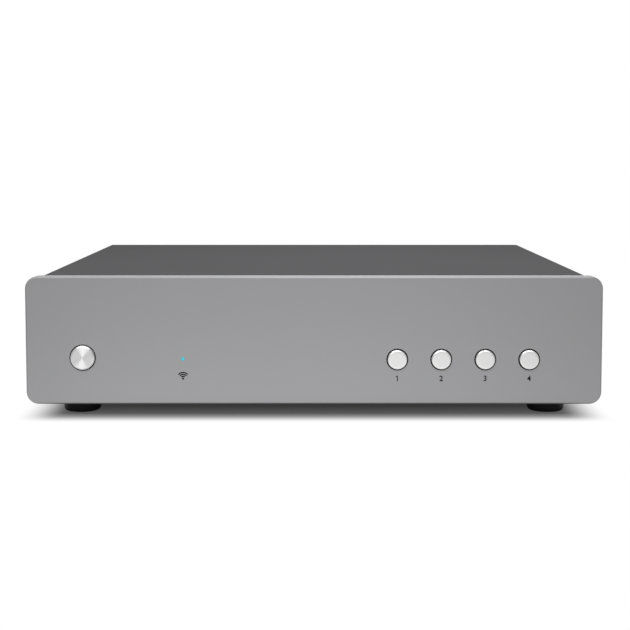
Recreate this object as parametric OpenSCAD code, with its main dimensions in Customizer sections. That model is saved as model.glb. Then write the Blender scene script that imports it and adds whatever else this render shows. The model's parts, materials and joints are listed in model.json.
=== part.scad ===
// Compact network music streamer: a steel case behind a thick aluminium front panel,
// with push buttons and a status light in front and the sockets behind.
// Millimetres. X runs right, Y runs back, Z runs up.
// The origin lies on the floor, under the middle of the object's box.

/* [Front panel] */
// Width of the front panel
panel_w = 215; // [209:0.5:225]
// Height of the front panel
panel_h = 47.8; // [45:0.1:56]
// Thickness of the front panel
panel_t = 6; // [5:0.5:9]
// Radius of the front panel's corners
panel_corner_r = 4.5; // [2:0.5:8]
// Chamfer round the front panel's front edge
panel_chamfer = 0.5; // [0.2:0.1:1]
// How far the front panel hangs below the tray
panel_drop = 1.8; // [0:0.1:3]

/* [Case] */
// How far the front panel stands out past the cover at each side
panel_overhang = 4.9; // [3:0.1:8]
// Depth from the front panel's face to the cover's rear edge
body_d = 182; // [178:1:200]
// Step from the front panel's top edge down to the cover
cover_step = 0; // [0:0.1:1.5]
// Thickness of the steel sheet
sheet_t = 1; // [0.8:0.1:1.2]
// Outer radius of the cover's bends
bend_r = 1.5; // [1.5:0.5:4]
// How far the rear panel lies inside the cover's rear edge
rear_inset = 1; // [0:0.5:2]
// Height of the tray's side flanges
side_flange_h = 11; // [9:1:14]
// Gap between sheets that slip past each other
slip = 0.2; // [0.1:0.05:0.4]

/* [Feet] */
// Height of the feet under the tray
foot_h = 6.4; // [5:0.2:9]
// Diameter of the feet
foot_d = 14; // [13:0.2:17]
// Radius of the feet's lower edge
foot_edge_r = 1.6; // [1:0.2:3]
// Gap from the feet to the tray's sides
foot_side_gap = 5.6; // [2:0.2:14]
// Gap from the front feet to the front panel's back
foot_front_gap = 1; // [0.4:0.2:16]
// Gap from the rear feet to the rear panel
foot_rear_gap = 10; // [5:0.2:22]

/* [Buttons] */
// Diameter of the power button's cap
power_cap_d = 9; // [8:0.1:11]
// Diameter of the preset buttons' caps
preset_cap_d = 7.3; // [6:0.1:9]
// Gap all round between a cap and its hole
cap_gap = 0.45; // [0.2:0.05:0.8]
// How far the caps stand proud of the front panel
cap_proud = 1.2; // [0.8:0.1:2.5]
// Radius of the caps' front edge
cap_edge_r = 0.45; // [0.2:0.05:0.8]
// Travel of a button
press_travel = 0.7; // [0.3:0.1:0.9]
// Distance of the power button from the front panel's left end
power_in = 21.2; // [18.5:0.1:30]
// Height of the power button above the front panel's lower edge
power_rise = 17.5; // [15:0.1:20]
// Distance of the last preset button from the front panel's right end
preset_in = 27.2; // [20:0.1:34]
// Distance between preset buttons
preset_pitch = 16.4; // [14:0.1:17]
// Height of the preset buttons above the front panel's lower edge
preset_rise = 16.8; // [15:0.1:20]
// Number of preset buttons
preset_count = 4; // [2:1:4]

/* [Status light] */
// Diameter of the light's window
light_d = 1.4; // [1:0.1:2.4]
// Distance of the light from the front panel's left end
light_in = 58.6; // [48:0.1:70]
// Height of the light above the front panel's lower edge
light_rise = 17; // [15:0.1:19]

/* [Boards] */
// Thickness of the circuit boards
board_t = 1.6; // [1:0.1:2]
// Height of the boards above the tray's floor
standoff_h = 6; // [5:0.5:8]
// Room for the ribbon cable between the control board and the main board
ribbon_room = 25.4; // [16:0.2:34]
// Width of the power supply board
psu_board_w = 52; // [50:1:58]
// Depth of the power supply board
psu_board_d = 112; // [108:1:125]
// Gap between a board and the tray's side
board_gap = 2; // [1:0.5:3]
// Gap between the boards and the rear panel
board_rear_gap = 1; // [0.5:0.5:2]
// Gap between the two boards
board_between = 6; // [4:0.5:10]
// Length of the posts that carry the control board
post_l = 8; // [7.5:0.5:12]

/* [Sockets] */
// Diameter of the audio sockets' barrels
rca_d = 8.3; // [8:0.1:8.6]
// Diameter of the pin holes in the audio sockets
rca_pin_d = 3.3; // [3.2:0.05:3.5]
// Reach of the audio sockets behind the rear panel
rca_reach = 9; // [8:0.5:12]
// Height of the audio sockets' axes above the main board
rca_rise = 9.5; // [8:0.5:12]
// Diameter of the antenna sockets' threads
antenna_d = 6.35; // [6:0.05:7]
// Reach of the antenna sockets behind the rear panel
antenna_reach = 8.5; // [7:0.5:9]
// Height of the antenna sockets' axes above the main board
antenna_rise = 24; // [18:0.5:28]
// Distance between the mains pins
mains_pin_pitch = 8.6; // [8:0.1:9.2]
// Diameter of the mains pins
mains_pin_d = 2.4; // [2:0.1:2.6]

/* [Screws] */
// Diameter of the screws
screw_d = 3; // [2.5:0.1:3.2]
// Length of the screws under the head
screw_l = 5; // [4.6:0.1:5.6]
// Diameter of the screw heads
head_d = 5.5; // [5:0.1:6]
// Height of the screw heads
head_h = 1.8; // [1.5:0.1:2.2]

/* [Hidden] */
$fn = 64;
eps = 0.1;

// Clearances: a thread, a loose hole, a press fit, a running fit and a socket in its cut-out
thread_clear = 0.05;
hole_clear = 0.3;
press_clear = 0.02;
run_clear = 0.1;
cutout_clear = 0.25;
screw_r = screw_d / 2;
thread_r = screw_r + thread_clear;
loose_r = screw_r + hole_clear;

// Screw heads: a straight rim, a narrower top and a cross recess
head_rim_h = head_h * 0.6;
head_top_d = head_d * 0.72;
recess_l = head_d * 0.55;
recess_w = 0.8;
recess_h = head_h * 0.55;

// Button stack, from the cap back to the control board
cap_stop_gap = 0.3;
cap_rear_gap = press_travel + cap_stop_gap;
cap_socket_l = 3.6;
spigot_r = 2;
wall_hole_gap = 1;
wall_hole_r = spigot_r + wall_hole_gap;
guide_t = 2;
guide_h = 20;
guide_end = 8;
flange_r = 3.4;
flange_t = 1.2;
tail_r = 1.5;
switch_w = 6;
switch_h = 3.5;
stem_r = 1.75;
stem_spare = 0.4;
stem_out = press_travel + stem_spare;
stem_in = 1.4;
post_r = 2.8;

// Levels in Z
z_tray = foot_h;
z_floor = z_tray + sheet_t;
z_panel = foot_h - panel_drop;
z_cover = z_panel + panel_h - cover_step;
z_ceiling = z_cover - sheet_t;
z_board = z_floor + standoff_h;
z_top = z_board + board_t;
z_power = z_panel + power_rise;
z_preset = z_panel + preset_rise;
z_light = z_panel + light_rise;
z_guide = (z_power + z_preset) / 2;
z_rca = z_top + rca_rise;
z_antenna = z_top + antenna_rise;

// Places in Y, from the caps in front to the sockets behind
socket_reach = max(rca_reach, antenna_reach);
overall_d = cap_proud + body_d - rear_inset + socket_reach;
y_front = cap_proud - overall_d / 2;
y_wall = y_front + panel_t;
y_guide = y_wall + sheet_t;
y_flange = y_guide + guide_t;
y_control = y_flange + post_l;
y_stem = y_control - switch_h - stem_out;
y_cap_rear = y_wall - cap_rear_gap;
y_edge = y_front + body_d;
y_rear = y_edge - rear_inset;
y_inner = y_rear - sheet_t;

// Sheet widths
case_w = panel_w - 2 * panel_overhang;
inner_bend_r = bend_r - sheet_t;
tray_w = case_w - 2 * (sheet_t + slip);
tray_bend_r = 1.6;
inner_x = tray_w / 2 - sheet_t;

// Buttons: name, place and cap radius
preset_names = [for (i = [1:preset_count]) str("preset_", i)];
button_names = concat(["power"], preset_names);
power_x = power_in - panel_w / 2;
last_preset_x = panel_w / 2 - preset_in;
preset_x = [for (i = [1:preset_count]) last_preset_x - (preset_count - i) * preset_pitch];
button_x = concat([power_x], preset_x);
button_z = concat([z_power], [for (i = [1:preset_count]) z_preset]);
button_r = concat([power_cap_d / 2], [for (i = [1:preset_count]) preset_cap_d / 2]);
buttons = [0:preset_count];

// Button guide and control board: outline, screws and posts
guide_x = [power_x - guide_end, last_preset_x + guide_end];
guide_z = [z_guide - guide_h / 2, z_guide + guide_h / 2];
guide_screw_side = 3.6;
guide_screw_edge = 3.2;
guide_screws = [for (x = [guide_x[0] + guide_screw_side, guide_x[1] - guide_screw_side],
    z = [guide_z[0] + guide_screw_edge, guide_z[1] - guide_screw_edge]) [x, z]];
post_beside_power = 12;
post_x = [power_x + post_beside_power, (guide_x[0] + guide_x[1]) / 2, last_preset_x - preset_pitch / 2];
panel_hole_spare = 0.5;
panel_hole_l = screw_l - guide_t - sheet_t + panel_hole_spare;

// Boards: outlines and the corners where they are screwed down
y_boards = y_inner - board_rear_gap;
psu_x = [-inner_x + board_gap, -inner_x + board_gap + psu_board_w];
psu_y = [y_boards - psu_board_d, y_boards];
main_x = [psu_x[1] + board_between, inner_x - board_gap];
main_y = [y_control + board_t + ribbon_room, y_boards];
corner_in = 4;
standoff_r = 2.5;
main_corners = [for (x = [main_x[0] + corner_in, main_x[1] - corner_in],
    y = [main_y[0] + corner_in, main_y[1] - corner_in]) [x, y]];
psu_corners = [for (x = [psu_x[0] + corner_in, psu_x[1] - corner_in],
    y = [psu_y[0] + corner_in, psu_y[1] - corner_in]) [x, y]];
board_corners = concat(main_corners, psu_corners);

// Feet, and the outer screws of the cover and the rear panel
foot_r = foot_d / 2;
foot_screw_tip = 1.5;
foot_web = screw_l - sheet_t - foot_screw_tip;
foot_recess_gap = 0.5;
foot_recess_r = head_d / 2 + foot_recess_gap;
foot_x = tray_w / 2 - foot_side_gap - foot_r;
foot_y = [y_wall + foot_front_gap + foot_r, y_inner - foot_rear_gap - foot_r];
side_screw_front = 36;
side_screw_back = 30;
side_screw_y = [y_wall + side_screw_front, y_rear - side_screw_back];
side_screw_rise = 1.2;
side_screw_z = z_tray + head_d / 2 + side_screw_rise;
rear_screw_in = 14;
rear_screw_x = tray_w / 2 - rear_screw_in;
rear_screw_rise = 0.6;
rear_screw_z = z_tray + head_d / 2 + rear_screw_rise;
tab_in = 35;
tab_x = tray_w / 2 - tab_in;
tab_w = 14;
tab_h = 12;
tab_screw_z = z_ceiling - tab_h / 2;

// Vent slots in the tray's floor, in two rows under each board
vent_w = 2.4;
vent_l = 24;
vent_pitch = 6;
vent_run = vent_l - vent_w;
vent_row_pitch = 36;
vent_psu_margin = 11;
vent_main_margin = 29;
vent_y = (y_wall + y_rear) / 2;
vent_groups = [[psu_x, vent_psu_margin], [main_x, vent_main_margin]];

// Sockets along the rear panel, as X of their middles
mains_off_middle = 4;
mains_x = (psu_x[0] + psu_x[1]) / 2 - mains_off_middle;
antenna_in = [6, 10];
antenna_x = [psu_x[1] - antenna_in[0], inner_x - antenna_in[1]];
socket_proud = 0.6;
y_socket = y_rear + socket_proud;

// Audio sockets
rca_wall = 0.65;
rca_lip = 1.2;
rca_barrel_r = rca_d / 2;
rca_core_r = rca_barrel_r - rca_wall;
rca_nose_r = rca_barrel_r + rca_lip;
rca_nose_proud = 1.2;
rca_core_in = 9;
rca_pin_floor = 1;
rca_tip_in = 0.8;
rca_block_w = 12.6;
rca_block_over = 6.4;
rca_block_d = 11.5;

// Network socket
ethernet_size = [16, 21, 13.4];
ethernet_plug = [11.9, 13, 7];
ethernet_latch = [6.4, 13, 2.6];
ethernet_plug_rise = 2;

// Serial bus socket
usb_size = [13.2, 14, 6];
usb_wall = 0.4;
usb_block_l = 4;
usb_tongue = [11.2, 8.6, 1.9];
usb_tongue_rise = 2.6;

// Optical socket and its shutter
optical_size = [11.4, 15, 11.8];
optical_hole = [8.8, 11.2, 8.8];
optical_hole_rise = 1.5;
optical_lens_r = 1.6;
optical_lens_l = 2;
shutter_t = 0.9;
shutter_pin_r = 0.5;
shutter_pin_in = 0.8;
shutter_in = 1.7;
shutter_side_gap = 0.25;
shutter_foot_gap = 0.3;
shutter_top_gap = 0.95;
z_optical_hole = z_top + optical_hole_rise;
z_shutter = z_optical_hole + optical_hole[2] - shutter_top_gap;
y_shutter = y_socket - shutter_in;

// Sockets on the main board, spread evenly between the screws at its rear corners
socket_screw_gap = 2;
socket_end = corner_in + head_d / 2 + socket_screw_gap;
socket_w = [ethernet_size[0], usb_size[0], optical_size[0], rca_block_w, rca_block_w, rca_block_w];
function total(v, n) = n == 0 ? 0 : v[n - 1] + total(v, n - 1);
socket_row_w = main_x[1] - main_x[0] - 2 * socket_end;
socket_between = (socket_row_w - total(socket_w, len(socket_w))) / (len(socket_w) - 1);
socket_x = [for (i = [0:len(socket_w) - 1])
    main_x[0] + socket_end + total(socket_w, i) + i * socket_between + socket_w[i] / 2];
ethernet_x = socket_x[0];
usb_x = socket_x[1];
optical_x = socket_x[2];
coax_x = socket_x[3];
left_x = socket_x[4];
right_x = socket_x[5];
rca_x = [coax_x, left_x, right_x];

// Mains inlet
mains_size = [21.4, 22, 13.8];
mains_proud = 1.2;
mains_lobe_r = 3.5;
mains_waist = 5.6;
mains_hole_d = 12.5;
mains_pin_short = 3;
mains_pin_tail = 4;
y_mains = y_rear + mains_proud;
z_mains = z_top + mains_size[2] / 2;
mains_pin_x = [mains_x - mains_pin_pitch / 2, mains_x + mains_pin_pitch / 2];

// Antenna sockets
antenna_r = antenna_d / 2;
antenna_neck_in = 0.5;
antenna_neck_r = antenna_r - antenna_neck_in;
antenna_wall = 0.9;
antenna_bore_r = antenna_r - antenna_wall;
antenna_bore_l = 5;
antenna_pin_r = 0.45;
antenna_pin_short = 1;
antenna_hex_w = 8;
antenna_hex_t = 2;
antenna_nut_t = 2.2;
antenna_tail_r = 2;
antenna_tail_l = 8;
y_tail = y_inner - antenna_tail_l;

// Network module on the main board
module_spot = [28, 64];
module_x = main_x[0] + module_spot[0];
module_y = y_inner - module_spot[1];
module_size = [44, 36, 1.2];
module_header = [30, 5, 4];
module_can = [32, 22, 3];
module_can_shift = -4;
module_jack_x = [-16, 16];
module_jack_y = 13.5;
module_jack_r = 1.3;
module_jack_h = 1.5;
z_module = z_top + module_header[2];
z_module_top = z_module + module_size[2];

// Processor and its heat sink
processor_spot = [78, 92];
processor_x = main_x[0] + processor_spot[0];
processor_y = y_inner - processor_spot[1];
processor_size = [17, 17, 1.5];
sink_size = [25, 25, 9];
sink_base = 2;
sink_fins = 7;
sink_fin_t = 1.2;

// Memory chips, from the main board's left edge and the rear panel
memory_size = [11, 8, 1];
memory_column = 54;
memory_rows = [92, 106];

// Audio chips and capacitors, from the main board's right edge and the rear panel
converter_size = [7, 7, 1];
converter_spot = [40, 60];
codec_size = [10, 10, 1.2];
codec_spot = [62, 30];
amplifier_size = [5, 4, 1.5];
amplifier_columns = [26, 16];
amplifier_row = 28;
can_r = 4;
can_h = 12.5;
can_columns = [46, 36, 26];
can_rows = [36, 46];

// Power supply parts
transformer_spot = [24, 74];
transformer_at = [psu_x[0] + transformer_spot[0], y_inner - transformer_spot[1]];
transformer_core = [30, 12, 26];
transformer_coil = [21, 23, 19];
transformer_leg = 4;
bulk_spot = [13, 40];
bulk_at = [psu_x[0] + bulk_spot[0], y_inner - bulk_spot[1]];
bulk_r = 8;
bulk_h = 26;
psu_sink_spot = [9, 48];
psu_sink_at = [psu_x[1] - psu_sink_spot[0], y_inner - psu_sink_spot[1]];
psu_sink = [2, 36, 20];
psu_sink_foot = 7;

// Power leads between the boards
lead_r = 0.7;
lead_count = 4;
lead_pitch = 2.5;
dc_header = [6, 12, 8];
dc_header_in = [6, 7];
dc_header_x = [psu_x[1] - dc_header_in[0], main_x[0] + dc_header_in[1]];
dc_header_row = 94;
dc_header_y = y_inner - dc_header_row;
lead_arch = 15;
antenna_lead_out = 22;
antenna_lead_arch = 24;
lead_sides = 8;
lead_rings = 16;

// Ribbon from the control board to the main board
ribbon_beside_post = 13;
ribbon_x = post_x[1] + ribbon_beside_post;
ribbon_w = 12;
ribbon_t = 0.3;
ribbon_bend_r = 2.5;
ribbon_fall = 8;
ribbon_socket_w = 16;
ribbon_socket_l = 5;
ribbon_socket_h = 4;
ribbon_run = 4;
z_ribbon_low = z_top + ribbon_socket_h / 2;
z_ribbon_high = z_ribbon_low + ribbon_fall;
y_ribbon_front = y_control + board_t + ribbon_socket_l;
ribbon_socket_in = 2;
y_ribbon_back = main_y[0] + ribbon_socket_in;

// Status light
light_x = light_in - panel_w / 2;
light_r = light_d / 2;
light_pipe_r = 1.5;
light_flange_r = 2.5;
light_flange_t = 1;
led_size = [2, 0.8, 1.25];
led_gap = 0.1;

// Colours
anodised = [0.61, 0.61, 0.62];
cover_grey = [0.38, 0.38, 0.39];
satin_silver = [0.87, 0.87, 0.86];
steel = [0.62, 0.63, 0.65];
dark_steel = [0.17, 0.17, 0.18];
rubber_black = [0.08, 0.08, 0.09];
plastic_black = [0.06, 0.06, 0.07];
plastic_white = [0.9, 0.9, 0.88];
board_green = [0.05, 0.25, 0.16];
gold = [0.83, 0.66, 0.32];
nickel = [0.72, 0.71, 0.68];
clear_blue = [0.8, 0.95, 1, 0.6];
coil_yellow = [0.85, 0.7, 0.15];

// Nodes: the case and its contents, then the moving pieces of each button
fixed_nodes = ["front_panel", "top_cover", "chassis_tray", "rear_panel", "foot_front_left",
    "foot_front_right", "foot_rear_left", "foot_rear_right", "case_screws", "inner_screws",
    "board_standoffs", "button_guide", "control_board", "tact_switches", "light_pipe",
    "status_led", "ribbon_cable", "ribbon_sockets", "main_board", "main_chips",
    "main_capacitors", "processor_heatsink", "network_module", "module_shield", "psu_board",
    "psu_transformer", "psu_capacitor", "psu_heatsink", "dc_leads", "dc_headers",
    "mains_inlet", "mains_pins", "ethernet_socket", "usb_socket", "usb_tongue",
    "optical_socket", "optical_shutter", "rca_blocks", "rca_barrels", "coax_insulator",
    "left_insulator", "right_insulator", "antenna_sockets", "antenna_nuts", "antenna_leads"];
button_nodes = [for (b = button_names, piece = ["_cap", "_plunger", "_switch_stem"]) str(b, piece)];

// Shared shapes

// Block between two X, two Y and two Z values
module span(x, y, z)
    translate([x[0], y[0], z[0]])
        cube([x[1] - x[0], y[1] - y[0], z[1] - z[0]]);

// Block of a given size, centred on a point in X and Y and standing on z
module stand(size, at, z)
    translate([at[0] - size[0] / 2, at[1] - size[1] / 2, z])
        cube(size);

// Round bars along the three axes
module rod_x(r, x, y, z)
    translate([x[0], y, z]) rotate([0, 90, 0]) cylinder(h = x[1] - x[0], r = r);

module rod_y(r, x, y, z)
    translate([x, y[1], z]) rotate([90, 0, 0]) cylinder(h = y[1] - y[0], r = r);

module rod_z(r, x, y, z)
    translate([x, y, z[0]]) cylinder(h = z[1] - z[0], r = r);

// Rectangle standing on the X axis, with its corners rounded
module rounded(w, h, r) {
    translate([r - w / 2, 0]) square([w - 2 * r, h]);
    translate([-w / 2, r]) square([w, h - 2 * r]);
    for (x = [r - w / 2, w / 2 - r], y = [r, h - r])
        translate([x, y]) circle(r);
}

// Rectangle standing on the X axis, with its two upper corners rounded
module arch(w, h, r) {
    translate([-w / 2, 0]) square([w, h - r]);
    translate([r - w / 2, 0]) square([w - 2 * r, h]);
    for (x = [r - w / 2, w / 2 - r])
        translate([x, h - r]) circle(r);
}

// Section of a bent sheet that is open below
module channel(w, h, t, r)
    difference() {
        arch(w, h, r);
        translate([0, -eps]) arch(w - 2 * t, h - t + eps, r - t);
    }

// Upright slab from y = 0 back to y = t, with rounded corners and a chamfered front edge
module chamfered_slab(w, h, t, r, c) {
    translate([0, t, 0]) rotate([90, 0, 0]) linear_extrude(t - c) rounded(w, h, r);
    translate([r - w / 2, 0, 0]) rotate([90, 0, 90]) linear_extrude(w - 2 * r)
        polygon([[c, 0], [0, c], [0, h - c], [c, h]]);
    translate([0, 0, r]) linear_extrude(h - 2 * r)
        polygon([[-w / 2, c], [c - w / 2, 0], [w / 2 - c, 0], [w / 2, c]]);
    for (x = [r - w / 2, w / 2 - r], z = [r, h - r])
        translate([x, c, z]) rotate([90, 0, 0]) cylinder(h = c, r1 = r, r2 = r - c);
}

// Pan-head screw with a cross recess, seated on z = 0 with its head above
module screw()
    difference() {
        union() {
            cylinder(h = head_rim_h, d = head_d);
            translate([0, 0, head_rim_h]) cylinder(h = head_h - head_rim_h, d1 = head_d, d2 = head_top_d);
            translate([0, 0, -screw_l]) cylinder(h = screw_l + eps, r = screw_r);
        }
        for (a = [0, 90])
            rotate([0, 0, a])
                stand([recess_l, recess_w, recess_h + eps], [0, 0], head_h - recess_h);
    }

module screw_to_back(x, y, z)
    translate([x, y, z]) rotate([-90, 0, 0]) screw();

module screw_to_side(side, x, y, z)
    translate([side * x, y, z]) rotate([0, side * 90, 0]) screw();

// Curved leads: a cubic curve from a to d with handles b and c
function curve_point(a, b, c, d, t) =
    pow(1 - t, 3) * a + 3 * pow(1 - t, 2) * t * b + 3 * (1 - t) * t * t * c + pow(t, 3) * d;
function curve_way(a, b, c, d, t) =
    (1 - t) * (1 - t) * (b - a) + 2 * (1 - t) * t * (c - b) + t * t * (d - c);
function unit(v) = v / norm(v);

// Round lead along that curve; across is a direction that the lead never runs in
module lead(a, b, c, d, across) {
    n = lead_sides;
    points = [for (i = [0:lead_rings])
        let (t = i / lead_rings,
            way = unit(curve_way(a, b, c, d, t)),
            u = unit(cross(way, across)),
            v = cross(way, u))
        for (k = [0:n - 1])
            curve_point(a, b, c, d, t) + lead_r * (cos(360 * k / n) * u + sin(360 * k / n) * v)];
    sides = [for (i = [0:lead_rings - 1], k = [0:n - 1])
        let (p = i * n + k, q = i * n + (k + 1) % n)
        each [[p, p + n, q + n], [p, q + n, q]]];
    ends = [[for (k = [0:n - 1]) k], [for (k = [n - 1:-1:0]) lead_rings * n + k]];
    polyhedron(points, concat(sides, ends));
}

// Front panel and case

module front_panel()
    color(anodised)
        difference() {
            translate([0, y_front, z_panel])
                chamfered_slab(panel_w, panel_h, panel_t, panel_corner_r, panel_chamfer);
            for (i = buttons)
                rod_y(button_r[i] + cap_gap, button_x[i], [y_front - eps, y_wall + eps], button_z[i]);
            rod_y(light_r + press_clear, light_x, [y_front - eps, y_wall + eps], z_light);
            for (s = guide_screws)
                rod_y(thread_r, s[0], [y_wall - panel_hole_l, y_wall + eps], s[1]);
        }

module top_cover()
    color(cover_grey)
        difference() {
            union() {
                translate([0, y_edge, z_tray]) rotate([90, 0, 0])
                    linear_extrude(y_edge - y_wall) channel(case_w, z_cover - z_tray, sheet_t, bend_r);
                for (x = [-tab_x, tab_x])
                    span([x - tab_w / 2, x + tab_w / 2], [y_inner - sheet_t, y_inner],
                        [z_ceiling - tab_h, z_ceiling + sheet_t / 2]);
            }
            for (x = [-tab_x, tab_x])
                rod_y(thread_r, x, [y_inner - sheet_t - eps, y_inner + eps], tab_screw_z);
            for (y = side_screw_y)
                rod_x(loose_r, [-case_w / 2 - eps, case_w / 2 + eps], y, side_screw_z);
        }

// Sheet that closes an end of the cover, with its back face at y and its lower edge at z
module end_plate(y, z)
    translate([0, y, z]) rotate([90, 0, 0])
        linear_extrude(sheet_t) arch(tray_w, z_ceiling - slip - z, inner_bend_r);

module vent_slot(x, y) {
    span([x - vent_w / 2, x + vent_w / 2], y, [z_tray - eps, z_floor + eps]);
    for (end = y)
        rod_z(vent_w / 2, x, end, [z_tray - eps, z_floor + eps]);
}

module vent_slots()
    for (group = vent_groups, row = [-vent_row_pitch / 2, vent_row_pitch / 2]) {
        middle = (group[0][0] + group[0][1]) / 2;
        reach = (group[0][1] - group[0][0]) / 2 - group[1];
        gaps = floor(2 * reach / vent_pitch);
        y = vent_y + row;
        for (i = [0:gaps])
            vent_slot(middle + (i - gaps / 2) * vent_pitch, [y - vent_run / 2, y + vent_run / 2]);
    }

module chassis_tray()
    color(dark_steel)
        difference() {
            union() {
                translate([0, y_wall, z_tray + side_flange_h]) rotate([-90, 0, 0])
                    linear_extrude(y_inner - y_wall)
                        channel(tray_w, side_flange_h, sheet_t, tray_bend_r);
                end_plate(y_guide, z_floor);
                span([-inner_x, inner_x], [y_inner - sheet_t, y_inner], [z_floor, z_board - slip]);
            }
            vent_slots();
            for (x = [-foot_x, foot_x], y = foot_y)
                rod_z(thread_r, x, y, [z_tray - eps, z_floor + eps]);
            for (y = side_screw_y)
                rod_x(thread_r, [-tray_w / 2 - eps, tray_w / 2 + eps], y, side_screw_z);
            for (x = [-rear_screw_x, rear_screw_x])
                rod_y(thread_r, x, [y_inner - sheet_t - eps, y_inner + eps], rear_screw_z);
            for (i = buttons)
                rod_y(wall_hole_r, button_x[i], [y_wall - eps, y_guide + eps], button_z[i]);
            rod_y(light_pipe_r + hole_clear, light_x, [y_wall - eps, y_guide + eps], z_light);
            for (s = guide_screws)
                rod_y(loose_r, s[0], [y_wall - eps, y_guide + eps], s[1]);
        }

// Straight cut through the rear panel for a socket of a given size on the main board
module socket_cut(x, size)
    span([x - size[0] / 2 - cutout_clear, x + size[0] / 2 + cutout_clear], [y_inner - eps, y_rear + eps],
        [z_top - cutout_clear, z_top + size[2] + cutout_clear]);

module rear_panel()
    color(cover_grey)
        difference() {
            end_plate(y_rear, z_tray);
            socket_cut(mains_x, mains_size);
            socket_cut(ethernet_x, ethernet_size);
            socket_cut(usb_x, usb_size);
            socket_cut(optical_x, optical_size);
            for (x = rca_x)
                rod_y(rca_nose_r + cutout_clear, x, [y_inner - eps, y_rear + eps], z_rca);
            for (x = antenna_x)
                rod_y(antenna_r + run_clear, x, [y_inner - eps, y_rear + eps], z_antenna);
            for (x = [-tab_x, tab_x])
                rod_y(loose_r, x, [y_inner - eps, y_rear + eps], tab_screw_z);
            for (x = [-rear_screw_x, rear_screw_x])
                rod_y(loose_r, x, [y_inner - eps, y_rear + eps], rear_screw_z);
        }

module foot(x, y)
    color(rubber_black)
        translate([x, y, 0]) rotate_extrude()
            difference() {
                union() {
                    square([foot_r - foot_edge_r, foot_h]);
                    translate([0, foot_edge_r]) square([foot_r, foot_h - foot_edge_r]);
                    translate([foot_r - foot_edge_r, foot_edge_r]) circle(foot_edge_r);
                }
                translate([0, -eps]) square([foot_recess_r, foot_h - foot_web + eps]);
                translate([0, -eps]) square([loose_r, foot_h + 2 * eps]);
            }

// Screws that show: under the feet, in the cover's sides and in the rear panel
module case_screws()
    color(dark_steel) {
        for (x = [-foot_x, foot_x], y = foot_y)
            translate([x, y, foot_h - foot_web]) rotate([180, 0, 0]) screw();
        for (side = [-1, 1], y = side_screw_y)
            screw_to_side(side, case_w / 2, y, side_screw_z);
        for (x = [-rear_screw_x, rear_screw_x])
            screw_to_back(x, y_rear, rear_screw_z);
        for (x = [-tab_x, tab_x])
            screw_to_back(x, y_rear, tab_screw_z);
    }

// Screws inside: the boards, the front panel and the control board
module inner_screws()
    color(steel) {
        for (c = board_corners)
            translate([c[0], c[1], z_top]) screw();
        for (s = guide_screws)
            screw_to_back(s[0], y_flange, s[1]);
        for (x = post_x)
            screw_to_back(x, y_control + board_t, z_guide);
    }

module board_standoffs()
    color(steel)
        for (c = board_corners)
            difference() {
                rod_z(standoff_r, c[0], c[1], [z_floor, z_board]);
                rod_z(thread_r, c[0], c[1], [z_floor - eps, z_board + eps]);
            }

// Buttons, switches and the status light

module cap(i) {
    length = y_cap_rear - y_front + cap_proud;
    r = button_r[i];
    color(satin_silver)
        translate([button_x[i], y_cap_rear, button_z[i]]) rotate([90, 0, 0]) rotate_extrude()
            difference() {
                union() {
                    square([r, length - cap_edge_r]);
                    square([r - cap_edge_r, length]);
                    translate([r - cap_edge_r, length - cap_edge_r]) circle(cap_edge_r);
                }
                translate([0, -eps]) square([spigot_r + press_clear, cap_socket_l + eps]);
            }
}

module plunger(i)
    color(plastic_black) {
        rod_y(spigot_r, button_x[i], [y_cap_rear - cap_socket_l, y_flange + flange_t], button_z[i]);
        rod_y(flange_r, button_x[i], [y_flange, y_flange + flange_t], button_z[i]);
        rod_y(tail_r, button_x[i], [y_flange, y_stem], button_z[i]);
    }

module switch_stem(i)
    color(plastic_black)
        rod_y(stem_r, button_x[i], [y_stem, y_control - switch_h + stem_in], button_z[i]);

module tact_switches()
    color(nickel)
        for (i = buttons)
            difference() {
                span([button_x[i] - switch_w / 2, button_x[i] + switch_w / 2],
                    [y_control - switch_h, y_control],
                    [button_z[i] - switch_w / 2, button_z[i] + switch_w / 2]);
                rod_y(stem_r + run_clear, button_x[i],
                    [y_control - switch_h - eps, y_control - switch_h + stem_in + stem_out], button_z[i]);
            }

module button_guide()
    color(plastic_black)
        difference() {
            union() {
                span(guide_x, [y_guide, y_flange], guide_z);
                for (x = post_x)
                    rod_y(post_r, x, [y_guide, y_control], z_guide);
            }
            for (i = buttons)
                rod_y(spigot_r + run_clear, button_x[i], [y_guide - eps, y_flange + eps], button_z[i]);
            rod_y(light_pipe_r + press_clear, light_x, [y_guide - eps, y_flange + eps], z_light);
            for (s = guide_screws)
                rod_y(loose_r, s[0], [y_guide - eps, y_flange + eps], s[1]);
            for (x = post_x)
                rod_y(thread_r, x, [y_flange, y_control + eps], z_guide);
        }

module control_board()
    color(board_green)
        difference() {
            span(guide_x, [y_control, y_control + board_t], guide_z);
            for (x = post_x)
                rod_y(loose_r, x, [y_control - eps, y_control + board_t + eps], z_guide);
        }

module light_pipe()
    color(clear_blue) {
        rod_y(light_r, light_x, [y_front, y_wall + eps], z_light);
        rod_y(light_pipe_r, light_x, [y_wall, y_control - led_size[1] - led_gap], z_light);
        rod_y(light_flange_r, light_x, [y_flange, y_flange + light_flange_t], z_light);
    }

module status_led()
    color("white")
        span([light_x - led_size[0] / 2, light_x + led_size[0] / 2], [y_control - led_size[1], y_control],
            [z_light - led_size[2] / 2, z_light + led_size[2] / 2]);

// Quarter of a flat ring, in the corner that turn gives
module quarter_ring(r, t, turn)
    rotate([0, 0, turn])
        intersection() {
            difference() {
                circle(r + t / 2);
                circle(r - t / 2);
            }
            square(r + t);
        }

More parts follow.
